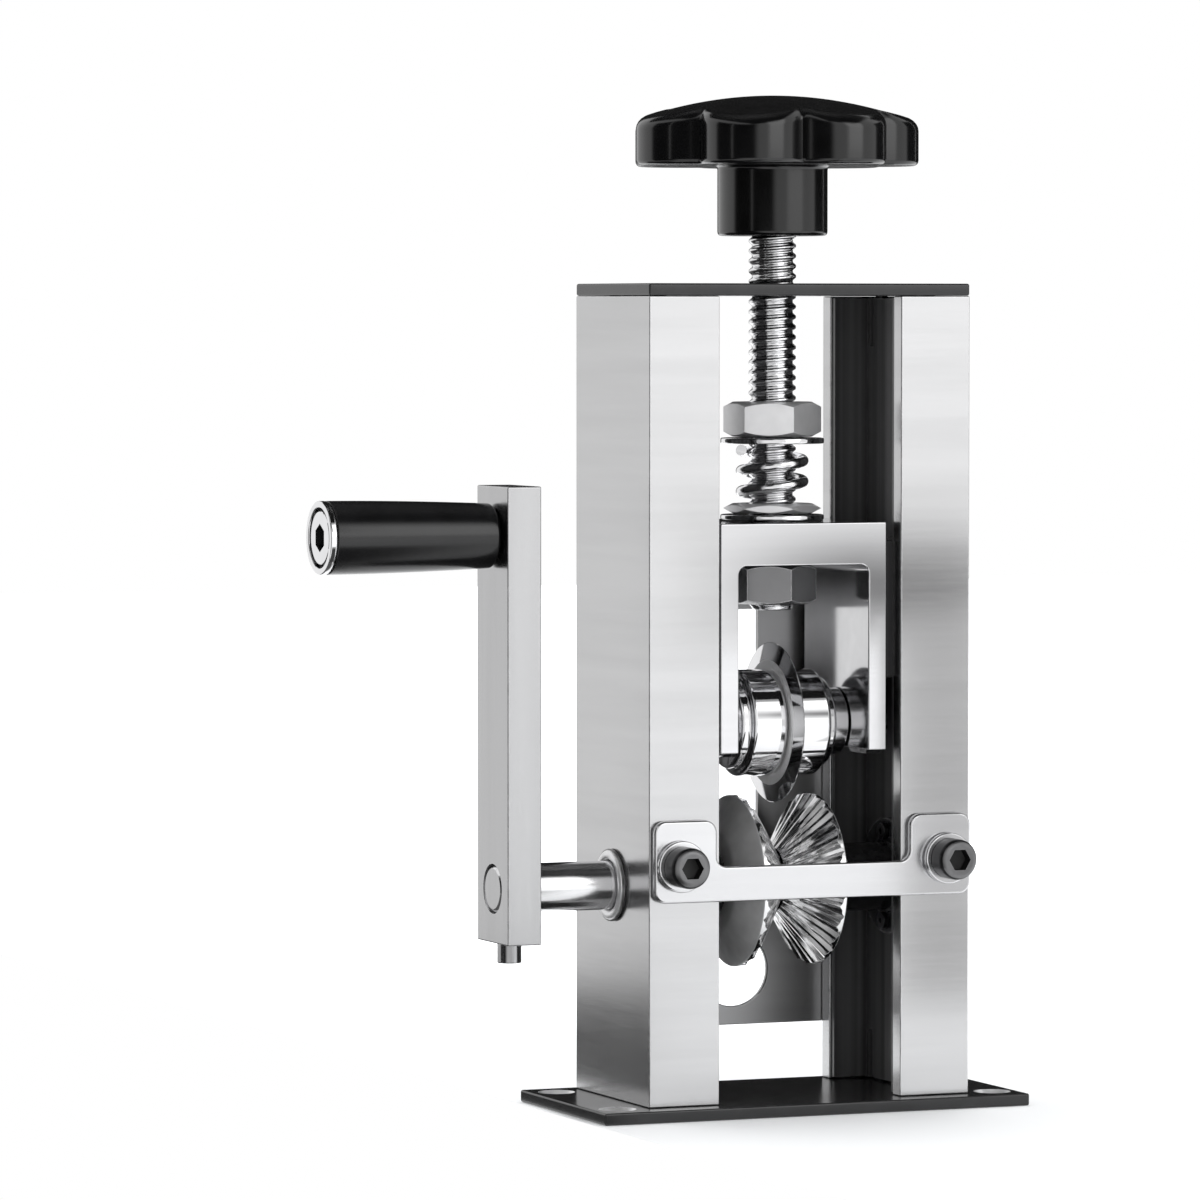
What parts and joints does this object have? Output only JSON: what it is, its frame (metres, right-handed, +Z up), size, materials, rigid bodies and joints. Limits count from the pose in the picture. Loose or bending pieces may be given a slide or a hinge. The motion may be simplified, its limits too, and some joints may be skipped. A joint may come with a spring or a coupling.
{
  "type": "wire stripping machine",
  "caption": "Hand-cranked wire stripping machine: fluted feed wheels under a round blade in a sprung carriage that a star knob and screw raise and lower, between channel posts.",
  "frame": {"origin": "on the underside of the base plate, under the middle of the posts", "axes": "+Z up along the adjusting screw, +Y from the cable's entry to its exit, +X along the crank shaft away from the crank"},
  "size_m": [0.1759, 0.0708, 0.2493],
  "materials": {
    "posts": "fine brushed",
    "brackets": "satin",
    "carriage_steel": "polished",
    "plates": "satin black",
    "rails": "satin black",
    "steel": "bright",
    "dark_screws": "black oxide",
    "black_plastic": "gloss"
  },
  "bodies": {
    "frame": {"base_plate": "plates", "top_plate": "plates", "left_post": "posts", "right_post": "posts", "left_guide_rail": "rails", "right_guide_rail": "rails", "back_plate": "brackets", "front_bar": "brackets", "back_screw_1": "steel", "back_screw_2": "steel", "back_screw_3": "steel", "back_screw_4": "steel", "bar_screw_left": "dark_screws", "bar_screw_right": "dark_screws", "bar_washer_left": "steel", "bar_washer_right": "steel", "top_screw_left_front": "dark_screws", "top_screw_left_rear": "dark_screws", "top_screw_right_front": "dark_screws", "top_screw_right_rear": "dark_screws", "base_screw_left_front": "dark_screws", "base_screw_left_rear": "dark_screws", "base_screw_right_front": "dark_screws", "base_screw_right_rear": "dark_screws", "left_drive_bush": "steel", "right_drive_bearing": "rails", "bearing_screw_lower": "dark_screws", "bearing_screw_upper": "dark_screws"},
    "crank": {"drive_shaft": "steel", "left_feed_wheel": "steel", "right_feed_wheel": "steel", "left_shaft_spacer": "rails", "right_shaft_spacer": "rails", "crank_arm": "posts", "crank_set_screw": "dark_screws", "grip_bolt": "steel"},
    "grip": {"grip_sleeve": "black_plastic", "grip_end_ring": "steel"},
    "lift": {"pressure_washer": "steel", "spring": "steel"},
    "adjuster": {"star_knob": "black_plastic", "lead_screw": "steel", "pressure_nut": "steel", "carriage_nut": "steel"},
    "carriage_body": {"carriage": "carriage_steel", "left_guide_shoe": "rails", "right_guide_shoe": "rails", "shoe_screw_left": "dark_screws", "shoe_screw_right": "dark_screws", "left_axle_spacer": "steel", "right_axle_spacer": "steel", "blade_axle": "steel", "axle_nut": "steel", "seat_washer": "steel", "spring_seat": "steel"},
    "blade": {"blade_disc": "steel", "left_roller": "steel", "right_roller": "steel"}
  },
  "joints": [
    {"name": "crank_spin", "type": "hinge", "parent": "frame", "child": "crank", "pos_m": [0, 0, 0.0556], "axis": [1, 0, 0], "continuous": true},
    {"name": "grip_spin", "type": "hinge", "parent": "crank", "child": "grip", "pos_m": [-0.0966, 0, 0.1417], "axis": [1, 0, 0], "continuous": true},
    {"name": "screw_travel", "type": "slide", "parent": "frame", "child": "lift", "axis": [0, 0, 1], "range_m": [-0.0035, 0.025]},
    {"name": "knob_spin", "type": "hinge", "parent": "lift", "child": "adjuster", "pos_m": [0, 0, 0.232], "axis": [0, 0, 1], "range_deg": [-504.5, 3600.5]},
    {"name": "carriage_float", "type": "slide", "parent": "lift", "child": "carriage_body", "axis": [0, 0, 1], "range_m": [0, 0.003], "stiffness_N_per_m": 8000, "springref_m": -0.003, "deforming": ["spring"]},
    {"name": "blade_spin", "type": "hinge", "parent": "carriage_body", "child": "blade", "pos_m": [0, 0, 0.0946], "axis": [1, 0, 0], "continuous": true}
  ],
  "couplings": [
    {"joint": "knob_spin", "follows": "screw_travel", "rad_per_m": 2513.3}
  ]
}
